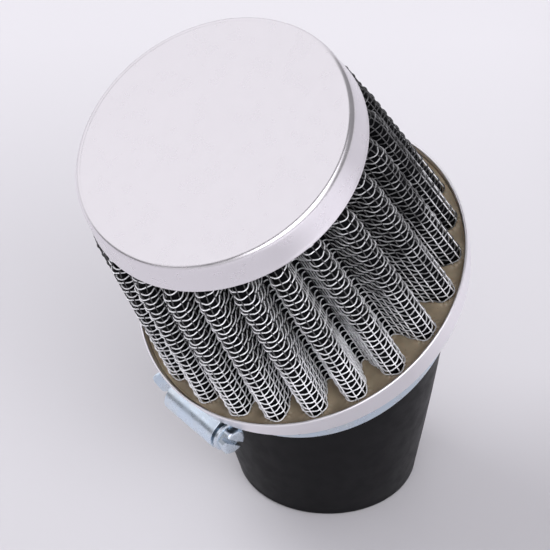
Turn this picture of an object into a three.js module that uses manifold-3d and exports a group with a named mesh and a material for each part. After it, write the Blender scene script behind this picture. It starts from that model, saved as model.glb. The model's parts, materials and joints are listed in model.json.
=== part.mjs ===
// Clamp-on air filter: a pleated cone under a metal cap, on a slanted rubber neck.
// Millimetres, +Z up, standing on the neck's foot; the origin is under the middle of its outline.
import * as THREE from "three";
import { mergeVertices } from "three/addons/utils/BufferGeometryUtils.js";
import Module from "manifold-3d";

const wasm = await Module();
wasm.setup();

// Clearance between pieces that seat on each other
const SEAT = 0.3;

// Neck: a round bore for the intake, and a slanted collar for the filter
const BORE_R = 19;
const NECK_WALL = 3;
const BORE_LENGTH = 12;
const FOOT_EDGE_R = 1;
const NECK_BEND = THREE.MathUtils.degToRad(30);
const AXES_CROSS_HEIGHT = 44.8;
const RIM_ABOVE_CROSS = 22.1;
const NECK_BULGE = 0.3;
const COLLAR_WALL = 2.8;
const COLLAR_SHIFT = 1.5;
const COLLAR_EDGE_R = 0.8;
const COLLAR_TUCK = 1.2;

// Base pan, from its rim down
const PAN_RIM_R = 40;
const PAN_FOOT_R = 39;
const PAN_DEPTH = 8.1;
const PAN_SHEET = 0.6;
const PAN_CORNER_R = 1.4;
const RESIN_BELOW_RIM = 2.0;

// Spigot, the short tube under the pan that the rubber collar grips
const SPIGOT_R = 27.6;
const SPIGOT_SHEET = 0.8;
const SPIGOT_REACH = 12;
const SPIGOT_FLANGE_R = 31;

// End cap
const CAP_TOP_ABOVE_RIM = 56;
const CAP_DISC_R = 30.4;
const CAP_SKIRT_R = 32.2;
const CAP_SHOULDER_R = 31.4;
const CAP_DEPTH = 7.8;
const CAP_SHEET = 0.5;
const CAP_RESIN_DEPTH = 5;

// Pleated pack: two wire cloths with the filter cloth between them
const PLEATS = 23;
const PLEAT_FIRST_AZIMUTH = THREE.MathUtils.degToRad(162);
const PLEAT_DRIFT = THREE.MathUtils.degToRad(1.4);
const PLEAT_DRIFT_WAVES = 3;
const PLEAT_DRIFT_AZIMUTH = THREE.MathUtils.degToRad(233);
const WIRE_CLOTH = 0.4;
const FILTER_CLOTH = 0.6;
const PLEAT_FOOT_CLEARANCE = 0.75;
const PLEAT_HEAD_CLEARANCE = 0.45;
const SHOULDER_BELOW_CAP = 5.2;
const SHOULDER_BEYOND_CAP = 1.5;
const PLEAT_FOOT_DEPTH = 10.3;
const PLEAT_SHOULDER_DEPTH = 10.7;
const PLEAT_HEAD_DEPTH = 9.2;
const CREST_FOOT_R = 3.0;
const CREST_SHOULDER_R = 2.6;
const CREST_HEAD_R = 2.45;
const FOLD_FOOT_R = 0.8;
const FOLD_SHOULDER_R = 0.7;
const FOLD_HEAD_R = 0.7;
const SEAM_FOLD = 13;
const SEAM_CLIP_SHEET = 0.4;
const SEAM_CLIP_LEG = THREE.MathUtils.degToRad(62);
const SEAM_CLIP_MARGIN = 3;

// Hose clamp round the collar
const BAND_WIDTH = 8;
const BAND_SHEET = 0.7;
const SADDLE_SHEET = 0.6;
const TAIL_SHEET = 0.6;
const CLAMP_BELOW_PAN = 6;
const CLAMP_AZIMUTH = THREE.MathUtils.degToRad(172);
const HOUSING_BACK = -10.5;
const HOUSING_FRONT = 6.5;
const HOUSING_SHEET = 0.7;
const BAND_END_OFFSET = 8.2;
const TAIL_FRONT = 4.5;
const TAIL_CURL_START = -11.2;
const TAIL_CURL_R = 4.5;
const TAIL_CURL = THREE.MathUtils.degToRad(70);
const TAIL_LIP = 2;
const THREAD_R = 3;
const THREAD_ROOT_R = 2.2;
const THREAD_PITCH = 2;
const THREAD_FLANK = 0.4;
const THREAD_CREST = 0.4;
const JOURNAL_R = 1.6;
const SCREW_FLANGE_R = 3.7;
const SCREW_FLANGE_THICK = 1.1;
const SCREW_FLANGE_OFFSET = 0.6;
const SCREW_HEX_ACROSS = 6;
const SCREW_HEX_LENGTH = 2.4;
const SCREW_HEAD_TURN = THREE.MathUtils.degToRad(23);
const SCREW_SLOT_WIDTH = 1.1;
const SCREW_SLOT_DEPTH = 1.6;
const SCREW_TIP_LENGTH = 1;

// Roundness of turned pieces, loft rings and small pieces
const ROUND_STEPS = 48;
const SMALL_STEPS = 24;
const LOFT_STEPS = 6;
const CORNER_STEPS = 3;
const CREST_STEPS = 4;
const FOLD_STEPS = 3;
const CURL_STEPS = 6;
const CUT_OVERRUN = 1;

// Sizes that follow from the ones above
const footR = BORE_R + NECK_WALL;
const socketR = SPIGOT_R + SEAT;
const collarR = socketR + COLLAR_WALL + COLLAR_SHIFT;
const spigotEnd = -PAN_DEPTH - SPIGOT_REACH;
const ledgeLevel = spigotEnd - SEAT;
const collarTop = -PAN_DEPTH - SEAT;
const packThick = 2 * WIRE_CLOTH + FILTER_CLOTH + 2 * SEAT;
const packFoot = -RESIN_BELOW_RIM + SEAT;
const capFoot = CAP_TOP_ABOVE_RIM - CAP_DEPTH;
const capEdgeR = CAP_SHOULDER_R - CAP_DISC_R;
const capEdgeLevel = CAP_TOP_ABOVE_RIM - capEdgeR;
const capResinFoot = CAP_TOP_ABOVE_RIM - CAP_SHEET - SEAT - CAP_RESIN_DEPTH;
const packHead = capResinFoot - SEAT;
const bandInnerR = collarR + SEAT;
const bandOuterR = bandInnerR + BAND_SHEET;
const bandMiddle = -PAN_DEPTH - CLAMP_BELOW_PAN;
const tailBottom = bandOuterR + SEAT;
const tailTop = tailBottom + TAIL_SHEET;
const screwAxisR = tailTop + SEAT + THREAD_R;
const rimCentre = new THREE.Vector3(
  -Math.sin(NECK_BEND) * RIM_ABOVE_CROSS,
  0,
  AXES_CROSS_HEIGHT + Math.cos(NECK_BEND) * RIM_ABOVE_CROSS,
);

// Finishes
function finish(color, roughness, metalness) {
  return new THREE.MeshStandardMaterial({ color, roughness, metalness });
}

const satinSteel = finish(0xd9d5db, 0.35, 0.9);
const panSteel = finish(0xc4bfc6, 0.4, 0.85);
const wireSteel = finish(0xaab0b8, 0.35, 0.9);
const blackCloth = finish(0x15161a, 0.95, 0);
const tanResin = finish(0x9c8c74, 0.7, 0);
const blackRubber = finish(0x242428, 0.75, 0);
const blueZinc = finish(0xc0d2e4, 0.3, 0.9);
const wormZinc = finish(0xccd6e2, 0.3, 0.9);

function named(name, geometry, material) {
  const mesh = new THREE.Mesh(geometry, material);
  mesh.name = name;
  return mesh;
}

// Points on an arc of a profile, from angle a to angle b
function arc(x, y, r, a, b, steps = CORNER_STEPS) {
  const points = [];
  for (let i = 0; i <= steps; i++) {
    const angle = a + ((b - a) * i) / steps;
    points.push(new THREE.Vector2(x + r * Math.cos(angle), y + r * Math.sin(angle)));
  }
  return points;
}

// A profile of radius and height, turned about Z
function turned(profile, steps = ROUND_STEPS) {
  return new THREE.LatheGeometry(profile, steps).rotateX(Math.PI / 2);
}

// A turned profile that closes on itself
function turnedRing(profile, steps = ROUND_STEPS) {
  return turned([...profile, profile[0].clone()], steps);
}

// A closed body through rings of points, the last joined back to the first. From the ring
// numbered turnBack on, faces are split the other way, so that a wall's two sides crease alike.
function ringBody(rings, turnBack = rings.length) {
  const count = rings[0].length;
  const positions = rings.flat().flatMap((p) => [p.x, p.y, p.z]);
  const index = [];
  rings.forEach((_, r) => {
    const here = r * count;
    const next = ((r + 1) % rings.length) * count;
    for (let i = 0; i < count; i++) {
      const j = (i + 1) % count;
      if (r < turnBack) index.push(here + i, here + j, next + j, here + i, next + j, next + i);
      else index.push(here + i, here + j, next + i, here + j, next + j, next + i);
    }
  });
  const geometry = new THREE.BufferGeometry();
  geometry.setAttribute("position", new THREE.Float32BufferAttribute(positions, 3));
  geometry.setIndex(index);
  return geometry;
}

function solidOf(geometry) {
  const bare = geometry.clone();
  bare.deleteAttribute("normal");
  bare.deleteAttribute("uv");
  const merged = mergeVertices(bare, 1e-4);
  const vertProperties = new Float32Array(merged.attributes.position.array);
  const triVerts = new Uint32Array(merged.index.array);
  return new wasm.Manifold(new wasm.Mesh({ numProp: 3, vertProperties, triVerts }));
}

function geometryOf(solid) {
  const mesh = solid.getMesh();
  const geometry = new THREE.BufferGeometry();
  geometry.setAttribute("position", new THREE.BufferAttribute(mesh.vertProperties, 3));
  geometry.setIndex(new THREE.BufferAttribute(mesh.triVerts, 1));
  return geometry;
}

// Neck

// A point of the filter's own frame, in the frame of the foot
function slanted(x, y, z) {
  const across = new THREE.Vector3(0, 1, 0);
  return new THREE.Vector3(x, y, z).applyAxisAngle(across, -NECK_BEND).add(rimCentre);
}

function neckRing(centre, tilt, radius) {
  const side = new THREE.Vector3(Math.cos(tilt), 0, Math.sin(tilt));
  const points = [];
  for (let i = 0; i < ROUND_STEPS; i++) {
    const angle = (2 * Math.PI * i) / ROUND_STEPS;
    const point = centre.clone().addScaledVector(side, radius * Math.cos(angle));
    point.y += radius * Math.sin(angle);
    points.push(point);
  }
  return points;
}

// Rings from a level circle to a slanted one, with the wall bulging by a little halfway
function neckLoft(low, high, bulge) {
  const rings = [];
  for (let i = 0; i <= LOFT_STEPS; i++) {
    const t = i / LOFT_STEPS;
    const out = bulge * Math.sin(Math.PI * t);
    const ring = low.map((point, n) => {
      const moved = point.clone().lerp(high[n], t);
      return moved.addScaledVector(new THREE.Vector3(point.x, point.y, 0).normalize(), out);
    });
    rings.push(ring);
  }
  return rings;
}

function rubberNeck() {
  const upright = (z, r) => neckRing(new THREE.Vector3(0, 0, z), 0, r);
  const collar = (z, r) => neckRing(slanted(-COLLAR_SHIFT, 0, z), NECK_BEND, r);
  const socket = (z, r) => neckRing(slanted(0, 0, z), NECK_BEND, r);
  const footEdge = arc(footR - FOOT_EDGE_R, FOOT_EDGE_R, FOOT_EDGE_R, -Math.PI / 2, 0).slice(0, -1);
  const edgeR = COLLAR_EDGE_R;
  const collarEdge = arc(collarR - edgeR, collarTop - edgeR, edgeR, 0, Math.PI / 2);
  const underBand = collar(ledgeLevel, collarR - COLLAR_TUCK);
  const outside = neckLoft(upright(FOOT_EDGE_R, footR), underBand, NECK_BULGE);
  const underSpigot = socket(ledgeLevel, SPIGOT_R - SPIGOT_SHEET);
  const inside = neckLoft(upright(BORE_LENGTH, BORE_R), underSpigot, 0);
  return ringBody([
    ...footEdge.map((p) => upright(p.y, p.x)),
    ...outside,
    collar(bandMiddle - BAND_WIDTH / 2, collarR),
    ...collarEdge.map((p) => collar(p.y, p.x)),
    socket(collarTop, socketR),
    socket(ledgeLevel, socketR),
    ...inside.reverse(),
    upright(0, BORE_R),
  ]);
}

// Filter head, with its own origin in the middle of the pan's rim

// Radius of the outside of the pan's sloping wall, which runs from its corner to its rolled rim
function panWallR(z) {
  const corner = -PAN_DEPTH + PAN_CORNER_R;
  return THREE.MathUtils.mapLinear(z, corner, -PAN_SHEET / 2, PAN_FOOT_R, PAN_RIM_R);
}

// Radius of the outside of the cap's sloping skirt, which runs up to its rounded edge
function capSkirtR(z) {
  return THREE.MathUtils.mapLinear(z, capFoot, capEdgeLevel, CAP_SKIRT_R, CAP_SHOULDER_R);
}

function basePan() {
  const lip = PAN_SHEET / 2;
  const floor = -PAN_DEPTH + PAN_SHEET;
  const corner = PAN_CORNER_R - PAN_SHEET;
  return turnedRing([
    new THREE.Vector2(socketR, -PAN_DEPTH),
    ...arc(PAN_FOOT_R - PAN_CORNER_R, -PAN_DEPTH + PAN_CORNER_R, PAN_CORNER_R, -Math.PI / 2, 0),
    ...arc(PAN_RIM_R - lip, -lip, lip, 0, Math.PI, 4),
    ...arc(PAN_FOOT_R - PAN_CORNER_R, -PAN_DEPTH + PAN_CORNER_R, corner, 0, -Math.PI / 2),
    new THREE.Vector2(socketR, floor),
  ]);
}

function spigot() {
  const inner = SPIGOT_R - SPIGOT_SHEET;
  const flangeFoot = -PAN_DEPTH + PAN_SHEET + SEAT;
  return turnedRing([
    new THREE.Vector2(inner, spigotEnd),
    new THREE.Vector2(SPIGOT_R, spigotEnd),
    new THREE.Vector2(SPIGOT_R, flangeFoot),
    new THREE.Vector2(SPIGOT_FLANGE_R, flangeFoot),
    new THREE.Vector2(SPIGOT_FLANGE_R, flangeFoot + SPIGOT_SHEET),
    new THREE.Vector2(inner, flangeFoot + SPIGOT_SHEET),
  ]);
}

function baseResin() {
  const top = -RESIN_BELOW_RIM;
  const foot = -PAN_DEPTH + PAN_SHEET + SEAT;
  const step = foot + SPIGOT_SHEET + SEAT;
  const footWallR = PAN_FOOT_R - PAN_CORNER_R;
  return turnedRing([
    new THREE.Vector2(SPIGOT_R - SPIGOT_SHEET, step),
    new THREE.Vector2(SPIGOT_FLANGE_R + SEAT, step),
    new THREE.Vector2(SPIGOT_FLANGE_R + SEAT, foot),
    new THREE.Vector2(footWallR, foot),
    new THREE.Vector2(panWallR(foot + PAN_CORNER_R) - PAN_SHEET - SEAT, foot + PAN_CORNER_R),
    new THREE.Vector2(panWallR(top) - PAN_SHEET - SEAT, top),
    new THREE.Vector2(SPIGOT_R - SPIGOT_SHEET, top),
  ]);
}

function endCap() {
  return turned([
    new THREE.Vector2(0, CAP_TOP_ABOVE_RIM - CAP_SHEET),
    ...arc(CAP_DISC_R, capEdgeLevel, capEdgeR - CAP_SHEET, Math.PI / 2, 0),
    new THREE.Vector2(CAP_SKIRT_R - CAP_SHEET, capFoot),
    new THREE.Vector2(CAP_SKIRT_R, capFoot),
    ...arc(CAP_DISC_R, capEdgeLevel, capEdgeR, 0, Math.PI / 2),
    new THREE.Vector2(0, CAP_TOP_ABOVE_RIM),
  ]);
}

function capResin() {
  const top = capResinFoot + CAP_RESIN_DEPTH;
  const side = (z) => capSkirtR(z) - CAP_SHEET - SEAT;
  const shoulder = top - capEdgeR;
  return turned([
    new THREE.Vector2(0, capResinFoot),
    new THREE.Vector2(side(capResinFoot), capResinFoot),
    new THREE.Vector2(side(shoulder), shoulder),
    new THREE.Vector2(CAP_DISC_R - SEAT, top),
    new THREE.Vector2(0, top),
  ]);
}

// Pleated pack

function crestAzimuth(k) {
  const even = PLEAT_FIRST_AZIMUTH + (2 * Math.PI * k) / PLEATS;
  return even - PLEAT_DRIFT * Math.cos(PLEAT_DRIFT_WAVES * (even - PLEAT_DRIFT_AZIMUTH));
}

function foldAzimuth(k) {
  return (crestAzimuth(k) + crestAzimuth(k + 1)) / 2;
}

const polar = (r, angle) => new THREE.Vector2(r * Math.cos(angle), r * Math.sin(angle));

// Centres of the crest and fold arcs at one level of the pack
function pleatEnd(z, outerR, depth, crestR, foldR) {
  const crestCentreR = outerR - crestR;
  const foldCentreR = outerR - depth + foldR + packThick;
  return { z, crestR, foldR, crestCentreR, foldCentreR };
}

// The crests at the foot stay clear of the pan's wall and of its rim, whichever is narrower
const pleatFoot = pleatEnd(
  packFoot,
  Math.min(panWallR(packFoot), PAN_RIM_R) - PAN_SHEET - PLEAT_FOOT_CLEARANCE,
  PLEAT_FOOT_DEPTH,
  CREST_FOOT_R,
  FOLD_FOOT_R,
);
const pleatShoulder = pleatEnd(
  capFoot - SHOULDER_BELOW_CAP,
  CAP_SKIRT_R + SHOULDER_BEYOND_CAP,
  PLEAT_SHOULDER_DEPTH,
  CREST_SHOULDER_R,
  FOLD_SHOULDER_R,
);
// Above the shoulder the crests lean in, to enter the cap clear of its skirt's foot
const inSkirt = (z) => capSkirtR(z) - CAP_SHEET - PLEAT_HEAD_CLEARANCE;
const shoulderR = CAP_SKIRT_R + SHOULDER_BEYOND_CAP;
const leanedInR = THREE.MathUtils.mapLinear(packHead, pleatShoulder.z, capFoot, shoulderR, inSkirt(capFoot));
const pleatHead = pleatEnd(
  packHead,
  Math.min(leanedInR, inSkirt(packHead)),
  PLEAT_HEAD_DEPTH,
  CREST_HEAD_R,
  FOLD_HEAD_R,
);

// Angle of a flank's normal, seen from the crest's centre; turn is 1 for the flank after the crest
function flankAngle(end, k, turn) {
  const crest = polar(end.crestCentreR, crestAzimuth(k));
  const fold = polar(end.foldCentreR, foldAzimuth(turn > 0 ? k : k - 1));
  const along = fold.sub(crest);
  const lean = Math.acos((end.crestR + end.foldR) / along.length());
  return along.angle() - turn * lean;
}

// Outline of the pack at one level, at a depth inside its outer face
function pleatOutline(end, depth) {
  const points = [];
  const sweep = (centre, r, from, to, steps) => {
    const flat = arc(centre.x, centre.y, r, from, to, steps);
    points.push(...flat.map((p) => new THREE.Vector3(p.x, p.y, end.z)));
  };
  for (let k = 0; k < PLEATS; k++) {
    const before = flankAngle(end, k, -1);
    const after = flankAngle(end, k, 1);
    const crest = polar(end.crestCentreR, crestAzimuth(k));
    const crestSweep = THREE.MathUtils.euclideanModulo(after - before, 2 * Math.PI);
    sweep(crest, end.crestR - depth, before, before + crestSweep, CREST_STEPS);
    const next = flankAngle(end, k + 1, -1);
    const fold = polar(end.foldCentreR, foldAzimuth(k));
    const foldSweep = THREE.MathUtils.euclideanModulo(after - next, 2 * Math.PI);
    const start = after + Math.PI;
    sweep(fold, end.foldR + depth, start, start - foldSweep, FOLD_STEPS);
  }
  return points;
}

// One pleated layer between two depths
function pleatedLayer(outerDepth, thick) {
  const ends = [pleatFoot, pleatShoulder, pleatHead];
  const outside = ends.map((end) => pleatOutline(end, outerDepth));
  const inside = ends.map((end) => pleatOutline(end, outerDepth + thick)).reverse();
  return ringBody([...outside, ...inside], outside.length);
}

// Channel strip that closes the pack's seam, crimped over one inner fold
function seamClip() {
  const section = (low, high, z) => {
    const centreR = THREE.MathUtils.mapLinear(z, low.z, high.z, low.foldCentreR, high.foldCentreR);
    const foldR = THREE.MathUtils.mapLinear(z, low.z, high.z, low.foldR, high.foldR);
    const r = foldR + packThick + SEAT;
    const azimuth = foldAzimuth(SEAM_FOLD);
    const centre = polar(centreR, azimuth);
    const inwards = azimuth + Math.PI;
    const from = inwards - SEAM_CLIP_LEG;
    const to = inwards + SEAM_CLIP_LEG;
    const outline = [
      ...arc(centre.x, centre.y, r + SEAM_CLIP_SHEET, from, to, CREST_STEPS),
      ...arc(centre.x, centre.y, r, to, from, CREST_STEPS),
    ];
    return outline.map((p) => new THREE.Vector3(p.x, p.y, z));
  };
  return cappedLoft([
    section(pleatFoot, pleatShoulder, pleatFoot.z + SEAM_CLIP_MARGIN),
    section(pleatFoot, pleatShoulder, pleatShoulder.z),
    section(pleatShoulder, pleatHead, pleatHead.z - SEAM_CLIP_MARGIN),
  ]);
}

// A body through level outlines of the same count, closed by a face at each end
function cappedLoft(outlines) {
  const count = outlines[0].length;
  const last = (outlines.length - 1) * count;
  const flat = outlines[0].map((p) => new THREE.Vector2(p.x, p.y));
  const faces = THREE.ShapeUtils.triangulateShape(flat, []);
  const positions = outlines.flat().flatMap((p) => [p.x, p.y, p.z]);
  const index = [];
  for (let here = 0; here < last; here += count) {
    const next = here + count;
    for (let i = 0; i < count; i++) {
      const j = (i + 1) % count;
      index.push(here + i, here + j, next + j, here + i, next + j, next + i);
    }
  }
  for (const [a, b, c] of faces) {
    index.push(c, b, a);
    index.push(last + a, last + b, last + c);
  }
  const geometry = new THREE.BufferGeometry();
  geometry.setAttribute("position", new THREE.Float32BufferAttribute(positions, 3));
  geometry.setIndex(index);
  return geometry;
}

// Hose clamp, with X outwards through the screw, Y towards the screw's head and Z along the filter

// A flat outline in X and Y, made solid over a width centred on Z = 0
function strip(shape, width, curveSteps) {
  const options = { depth: width, bevelEnabled: false, curveSegments: curveSteps };
  return new THREE.ExtrudeGeometry(shape, options).translate(0, 0, -width / 2);
}

// An outline in X and Z, made solid along Y between two places
function alongScrew(shape, from, to) {
  const options = { depth: to - from, bevelEnabled: false, curveSegments: SMALL_STEPS / 2 };
  return new THREE.ExtrudeGeometry(shape, options).rotateX(Math.PI / 2).translate(0, to, 0);
}

function clampBand() {
  const from = Math.asin(BAND_END_OFFSET / bandOuterR);
  const to = 2 * Math.PI - from;
  const shape = new THREE.Shape();
  shape.absarc(0, 0, bandOuterR, from, to, false);
  shape.absarc(0, 0, bandInnerR, to, from, true);
  return strip(shape, BAND_WIDTH, ROUND_STEPS);
}

function clampSaddle() {
  const shape = new THREE.Shape();
  shape.moveTo(bandOuterR - SADDLE_SHEET, HOUSING_BACK);
  shape.lineTo(bandOuterR, HOUSING_BACK);
  shape.lineTo(bandOuterR, HOUSING_FRONT);
  shape.lineTo(bandOuterR - SADDLE_SHEET, HOUSING_FRONT);
  return strip(shape, BAND_WIDTH, 1);
}

// Free end of the band: straight through the housing, then curled away from the neck
function clampTail() {
  const centre = tailTop + TAIL_CURL_R;
  const end = Math.PI + TAIL_CURL;
  const upper = arc(centre, TAIL_CURL_START, TAIL_CURL_R, Math.PI, end, CURL_STEPS);
  const lower = arc(centre, TAIL_CURL_START, TAIL_CURL_R + TAIL_SHEET, end, Math.PI, CURL_STEPS);
  const lip = polar(TAIL_LIP, end + Math.PI / 2);
  const outline = [
    ...upper,
    upper.at(-1).clone().add(lip),
    lower[0].clone().add(lip),
    ...lower,
    new THREE.Vector2(tailBottom, TAIL_FRONT),
    new THREE.Vector2(tailTop, TAIL_FRONT),
  ];
  return strip(new THREE.Shape(outline), BAND_WIDTH, 1);
}

function clampHousing() {
  const tunnelR = THREAD_R + SEAT;
  const archR = tunnelR + HOUSING_SHEET;
  const wallIn = BAND_WIDTH / 2 + SEAT;
  const wallOut = wallIn + HOUSING_SHEET;
  const foot = bandOuterR - SADDLE_SHEET;
  const shelfIn = tailTop + SEAT;
  const shelfOut = shelfIn + HOUSING_SHEET;
  // Profile points are (X, Z); extruding turns the drawing's second axis to Z
  const outline = [
    new THREE.Vector2(foot, -wallOut),
    new THREE.Vector2(shelfOut, -wallOut),
    ...arc(screwAxisR, 0, archR, -Math.PI / 2, Math.PI / 2, SMALL_STEPS / 2),
    new THREE.Vector2(shelfOut, wallOut),
    new THREE.Vector2(foot, wallOut),
    new THREE.Vector2(foot, wallIn),
    new THREE.Vector2(shelfIn, wallIn),
    ...arc(screwAxisR, 0, tunnelR, Math.PI / 2, -Math.PI / 2, SMALL_STEPS / 2),
    new THREE.Vector2(shelfIn, -wallIn),
    new THREE.Vector2(foot, -wallIn),
  ];
  const tunnel = solidOf(alongScrew(new THREE.Shape(outline), HOUSING_BACK, HOUSING_FRONT));
  const plugR = tunnelR + HOUSING_SHEET / 2;
  const plug = new THREE.Shape([
    new THREE.Vector2(shelfIn, -plugR),
    ...arc(screwAxisR, 0, plugR, -Math.PI / 2, Math.PI / 2, SMALL_STEPS / 2),
    new THREE.Vector2(shelfIn, plugR),
  ]);
  const boreR = JOURNAL_R + SEAT;
  const bore = new THREE.Shape(arc(screwAxisR, 0, boreR, 0, 2 * Math.PI, SMALL_STEPS).slice(1));
  const backWall = solidOf(alongScrew(plug, HOUSING_BACK, HOUSING_BACK + HOUSING_SHEET));
  const frontWall = solidOf(alongScrew(plug, HOUSING_FRONT - HOUSING_SHEET, HOUSING_FRONT));
  const boreBack = HOUSING_BACK - CUT_OVERRUN;
  const boreFront = HOUSING_FRONT + CUT_OVERRUN;
  const journals = solidOf(alongScrew(bore, boreBack, boreFront));
  return geometryOf(tunnel.add(backWall).add(frontWall).subtract(journals));
}

// Worm screw: journals in the housing's end walls, ridges between them, a slotted hexagon head
function wormScrew() {
  const threadFront = HOUSING_FRONT - HOUSING_SHEET - SEAT;
  const threadBack = HOUSING_BACK + HOUSING_SHEET + SEAT;
  const ridges = Math.floor((threadFront - threadBack) / THREAD_PITCH);
  const flangeBack = HOUSING_FRONT + SCREW_FLANGE_OFFSET;
  const flangeFront = flangeBack + SCREW_FLANGE_THICK;
  const profile = [];
  const corner = (r, y) => profile.push(new THREE.Vector2(r, y));
  corner(0, HOUSING_BACK - SCREW_TIP_LENGTH);
  corner(JOURNAL_R, HOUSING_BACK - SCREW_TIP_LENGTH);
  corner(JOURNAL_R, threadBack);
  corner(THREAD_ROOT_R, threadBack);
  for (let i = 0; i < ridges; i++) {
    const middle = threadBack + (i + 0.5) * THREAD_PITCH;
    corner(THREAD_ROOT_R, middle - THREAD_CREST / 2 - THREAD_FLANK);
    corner(THREAD_R, middle - THREAD_CREST / 2);
    corner(THREAD_R, middle + THREAD_CREST / 2);
    corner(THREAD_ROOT_R, middle + THREAD_CREST / 2 + THREAD_FLANK);
  }
  corner(THREAD_ROOT_R, threadFront);
  corner(JOURNAL_R, threadFront);
  corner(JOURNAL_R, flangeBack);
  corner(SCREW_FLANGE_R, flangeBack);
  corner(SCREW_FLANGE_R, flangeFront);
  corner(0, flangeFront);
  const shank = solidOf(new THREE.LatheGeometry(profile, SMALL_STEPS));
  const hexR = SCREW_HEX_ACROSS / Math.sqrt(3);
  const headEnd = flangeFront + SCREW_HEX_LENGTH;
  const hexagon = new THREE.CylinderGeometry(hexR, hexR, SCREW_HEX_LENGTH + SCREW_FLANGE_THICK / 2, 6);
  hexagon.translate(0, headEnd - hexagon.parameters.height / 2, 0);
  const slotLength = 2 * SCREW_FLANGE_R;
  const slot = new THREE.BoxGeometry(SCREW_SLOT_WIDTH, 2 * SCREW_SLOT_DEPTH, slotLength);
  slot.translate(0, headEnd, 0);
  const screw = shank.add(solidOf(hexagon)).subtract(solidOf(slot));
  return geometryOf(screw).rotateY(SCREW_HEAD_TURN).translate(screwAxisR, 0, 0);
}

// Assembly

const clamp = new THREE.Group();
clamp.position.set(-COLLAR_SHIFT, 0, bandMiddle);
clamp.rotation.z = CLAMP_AZIMUTH;
clamp.add(
  named("clamp_band", clampBand(), blueZinc),
  named("clamp_saddle", clampSaddle(), blueZinc),
  named("clamp_tail", clampTail(), blueZinc),
  named("clamp_housing", clampHousing(), blueZinc),
  named("worm_screw", wormScrew(), wormZinc),
);

const clothDepth = WIRE_CLOTH + SEAT;
const innerWireDepth = clothDepth + FILTER_CLOTH + SEAT;
const head = new THREE.Group();
head.position.copy(rimCentre);
head.rotation.y = -NECK_BEND;
head.add(
  named("end_cap", endCap(), satinSteel),
  named("cap_resin", capResin(), tanResin),
  named("outer_wire_cloth", pleatedLayer(0, WIRE_CLOTH), wireSteel),
  named("filter_cloth", pleatedLayer(clothDepth, FILTER_CLOTH), blackCloth),
  named("inner_wire_cloth", pleatedLayer(innerWireDepth, WIRE_CLOTH), wireSteel),
  named("seam_clip", seamClip(), wireSteel),
  named("base_pan", basePan(), panSteel),
  named("base_resin", baseResin(), tanResin),
  named("spigot", spigot(), panSteel),
  clamp,
);

const standing = new THREE.Group();
standing.add(named("rubber_neck", rubberNeck(), blackRubber), head);
standing.updateMatrixWorld(true);
const outline = new THREE.Box3().setFromObject(standing, true);
const middle = outline.getCenter(new THREE.Vector3());
standing.position.set(-middle.x, -middle.y, -outline.min.z);

const airFilter = new THREE.Group();
airFilter.add(standing);

export default airFilter;
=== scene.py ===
"""Clamp-on air filter: the visual model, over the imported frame. Sizes are in millimetres and
become metres when a piece is put in its place."""

import json
import math

import bmesh
import bpy
import numpy as np
from mathutils import Matrix, Vector


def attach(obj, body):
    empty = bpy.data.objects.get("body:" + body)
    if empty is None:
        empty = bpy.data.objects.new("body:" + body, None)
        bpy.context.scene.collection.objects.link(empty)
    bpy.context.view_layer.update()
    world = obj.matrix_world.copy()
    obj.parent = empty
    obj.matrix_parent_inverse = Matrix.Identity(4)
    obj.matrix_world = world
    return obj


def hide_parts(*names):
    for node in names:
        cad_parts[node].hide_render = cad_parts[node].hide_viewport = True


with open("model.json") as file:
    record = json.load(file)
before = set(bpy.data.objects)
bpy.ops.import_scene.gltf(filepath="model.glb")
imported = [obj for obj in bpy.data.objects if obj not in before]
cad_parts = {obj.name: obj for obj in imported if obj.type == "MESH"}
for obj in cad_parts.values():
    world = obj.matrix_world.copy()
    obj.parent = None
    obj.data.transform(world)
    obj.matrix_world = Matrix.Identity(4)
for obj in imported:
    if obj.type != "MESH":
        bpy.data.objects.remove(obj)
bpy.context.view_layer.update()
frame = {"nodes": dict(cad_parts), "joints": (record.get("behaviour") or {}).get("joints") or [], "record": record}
rng = np.random.default_rng(7)
MM = 0.001
ROUND_STEPS, FINE_STEPS, CRISP, ANY_PHASE = 192, 256, 50, 6.28

# Sizes, as in the solids
SEAT = 0.3
BORE_R, NECK_WALL, BORE_LENGTH, FOOT_EDGE_R = 19.0, 3.0, 12.0, 1.0
NECK_BULGE, COLLAR_WALL, COLLAR_SHIFT, COLLAR_EDGE_R, COLLAR_TUCK = 0.3, 2.8, 1.5, 0.8, 1.2
PAN_RIM_R, PAN_FOOT_R, PAN_DEPTH, PAN_SHEET, PAN_CORNER_R = 40.0, 39.0, 8.1, 0.6, 1.4
RESIN_BELOW_RIM = 2.0
SPIGOT_R, SPIGOT_SHEET, SPIGOT_REACH, SPIGOT_FLANGE_R = 27.6, 0.8, 12.0, 31.0
CAP_TOP, CAP_DISC_R, CAP_SKIRT_R, CAP_SHOULDER_R = 56.0, 30.4, 32.2, 31.4
CAP_DEPTH, CAP_SHEET, CAP_RESIN_DEPTH = 7.8, 0.5, 5.0
PLEATS, FIRST_AZIMUTH, DRIFT, DRIFT_WAVES, DRIFT_AZIMUTH = 23, 162.0, 1.4, 3, 233.0
FOOT_PLEAT = {"depth": 10.3, "crest_r": 3.0, "fold_r": 0.8}
SHOULDER_PLEAT = {"depth": 10.7, "crest_r": 2.6, "fold_r": 0.7}
HEAD_PLEAT = {"depth": 9.2, "crest_r": 2.45, "fold_r": 0.7}
SHOULDER_BELOW_CAP, SHOULDER_BEYOND_CAP, SHOULDER_SOFT, HEAD_CLEARANCE = 5.2, 1.5, 2.5, 0.45
FOOT_CLEARANCE, MIDDLE_LEVEL = 0.75, 20.0
WIRE_CLOTH, FILTER_CLOTH = 0.4, 0.6
WIRE_R, WARP_WIRES, WEFT_PITCH = 0.155, 250, 1.74
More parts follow.
